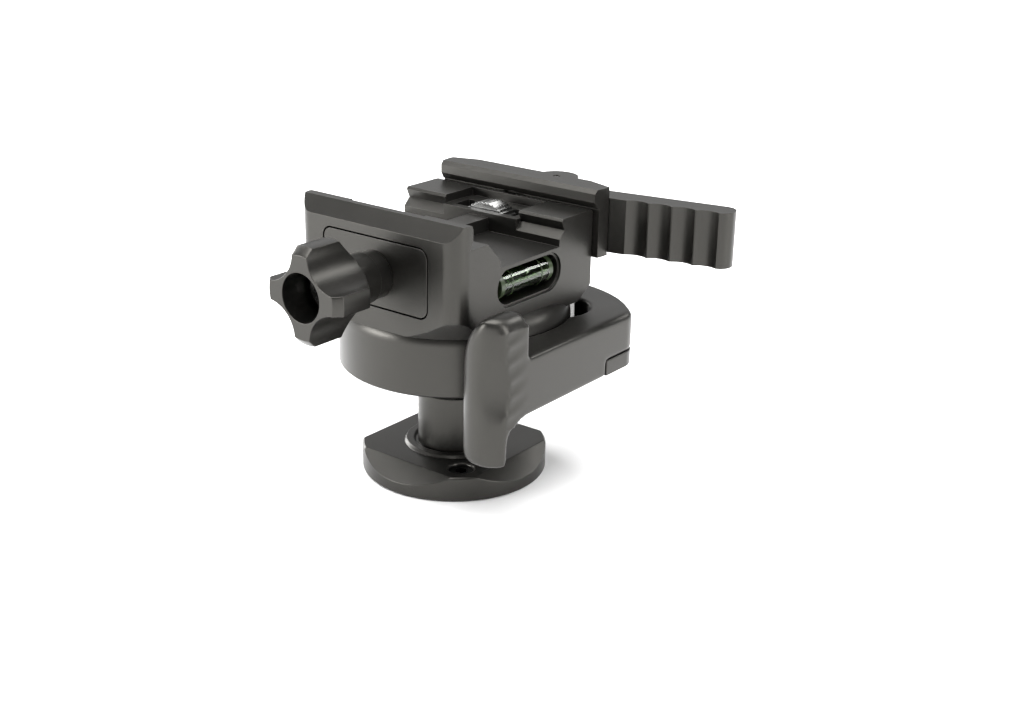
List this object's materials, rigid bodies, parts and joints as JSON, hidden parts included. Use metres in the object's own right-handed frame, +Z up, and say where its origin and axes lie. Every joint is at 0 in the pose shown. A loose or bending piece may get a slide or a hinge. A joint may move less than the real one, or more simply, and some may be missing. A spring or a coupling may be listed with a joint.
{
  "type": "ball head",
  "caption": "Compact low ball head with a lock lever, spirit level and a clamp for dovetail plates and accessory rails, worked by a star knob and a cam lever.",
  "frame": {"origin": "centre of the base's bottom face, at the mouth of the tripod thread", "axes": "+Z up along the stem, X along the clamp's jaws with the levers towards +X, the star knob towards -Y and the quick-release lever at +Y"},
  "size_m": [0.069, 0.0746, 0.0587],
  "materials": {
    "anodised_body": "bead-blasted, dark warm-grey anodised, satin",
    "anodised_lever": "bead-blasted, dark warm-grey anodised, satin",
    "anodised_knob": "turned and milled, dark warm-grey anodised, satin",
    "lever_insert": "dark anodised, satin",
    "ball_finish": "polished, black anodised",
    "black_screw": "black oxide",
    "bright_screw": "bright polished steel",
    "plain_steel": "turned steel",
    "knurled_wheel": "bright stainless steel, straight knurl",
    "spring_steel": "drawn spring wire",
    "liner_plastic": "natural acetal",
    "vial_glass": "clear acrylic",
    "vial_liquid": "clear green liquid with a bubble",
    "vial_cap": "dark plug"
  },
  "bodies": {
    "base": {"base_plate": "anodised_body", "base_set_screws": "black_screw", "stem": "anodised_body", "ball_stud": "plain_steel", "ball": "ball_finish"},
    "pan_cup": {"upper_ball_cup": "liner_plastic"},
    "tilt_cup": {"cup_carrier": "plain_steel"},
    "head": {"housing": "anodised_body", "seat_ring": "liner_plastic", "lever_pivot_pin": "plain_steel", "clamp_body": "anodised_body", "clamp_lock_screw": "black_screw", "vial_tube": "vial_glass", "vial_fluid": "vial_liquid", "vial_caps": "vial_cap", "jaw_springs": "spring_steel"},
    "lock_arm": {"lock_lever": "anodised_lever", "lever_end_cap": "lever_insert", "end_cap_screw": "bright_screw"},
    "plunger": {"lock_plunger": "plain_steel", "plunger_pad": "liner_plastic"},
    "rail_jaw": {"front_jaw": "anodised_body", "knob_collar": "anodised_knob"},
    "star_knob": {"knob": "anodised_knob", "knob_screw": "bright_screw"},
    "rod": {"draw_rod": "plain_steel", "draw_plate": "plain_steel", "rod_nut": "plain_steel"},
    "wheel": {"thumb_wheel": "knurled_wheel"},
    "plate_jaw": {"rear_jaw": "anodised_body", "jaw_guide_pins": "plain_steel", "qr_pivot_pin": "plain_steel"},
    "qr_handle": {"qr_lever": "anodised_lever"}
  },
  "joints": [
    {"name": "pan", "type": "hinge", "parent": "base", "child": "pan_cup", "pos_m": [0, 0, 0.027], "axis": [0, 0, 1], "continuous": true},
    {"name": "tilt_x", "type": "hinge", "parent": "pan_cup", "child": "tilt_cup", "pos_m": [0, 0, 0.027], "axis": [1, 0, 0], "range_deg": [-25, 15]},
    {"name": "tilt_y", "type": "hinge", "parent": "tilt_cup", "child": "head", "pos_m": [0, 0, 0.027], "axis": [0, 1, 0], "range_deg": [-25, 15]},
    {"name": "lock_swing", "type": "hinge", "parent": "head", "child": "lock_arm", "pos_m": [0.016, 0.0123, 0.0294], "axis": [0, 0, 1], "range_deg": [0, 15]},
    {"name": "plunger_slide", "type": "slide", "parent": "head", "child": "plunger", "axis": [0.7928, 0.6095, 0], "range_m": [0, 0.0000901]},
    {"name": "knob_turn", "type": "hinge", "parent": "rail_jaw", "child": "star_knob", "pos_m": [0, -0.0367, 0.0468], "axis": [0, 1, 0], "range_deg": [0, 1260.5]},
    {"name": "rail_jaw_slide", "type": "slide", "parent": "head", "child": "rail_jaw", "axis": [0, 1, 0], "range_m": [0, 0.0035]},
    {"name": "wheel_turn", "type": "hinge", "parent": "head", "child": "wheel", "pos_m": [0, 0.0115, 0.0468], "axis": [0, -1, 0], "range_deg": [0, 1080.5]},
    {"name": "rod_slide", "type": "slide", "parent": "head", "child": "rod", "axis": [0, 1, 0], "range_m": [0, 0.0015]},
    {"name": "plate_jaw_slide", "type": "slide", "parent": "rod", "child": "plate_jaw", "axis": [0, 1, 0], "range_m": [0, 0.000901]},
    {"name": "qr_swing", "type": "hinge", "parent": "plate_jaw", "child": "qr_handle", "pos_m": [0.008, 0.0228, 0.0505], "axis": [0, 0, 1], "range_deg": [0, 90]}
  ],
  "couplings": [
    {"joint": "plunger_slide", "follows": "lock_swing", "m_per_rad": 0.00034377},
    {"joint": "knob_turn", "follows": "rail_jaw_slide", "rad_per_m": 6283.2},
    {"joint": "wheel_turn", "follows": "rod_slide", "rad_per_m": 12566},
    {"joint": "plate_jaw_slide", "follows": "qr_swing", "m_per_rad": 0.00057296}
  ]
}
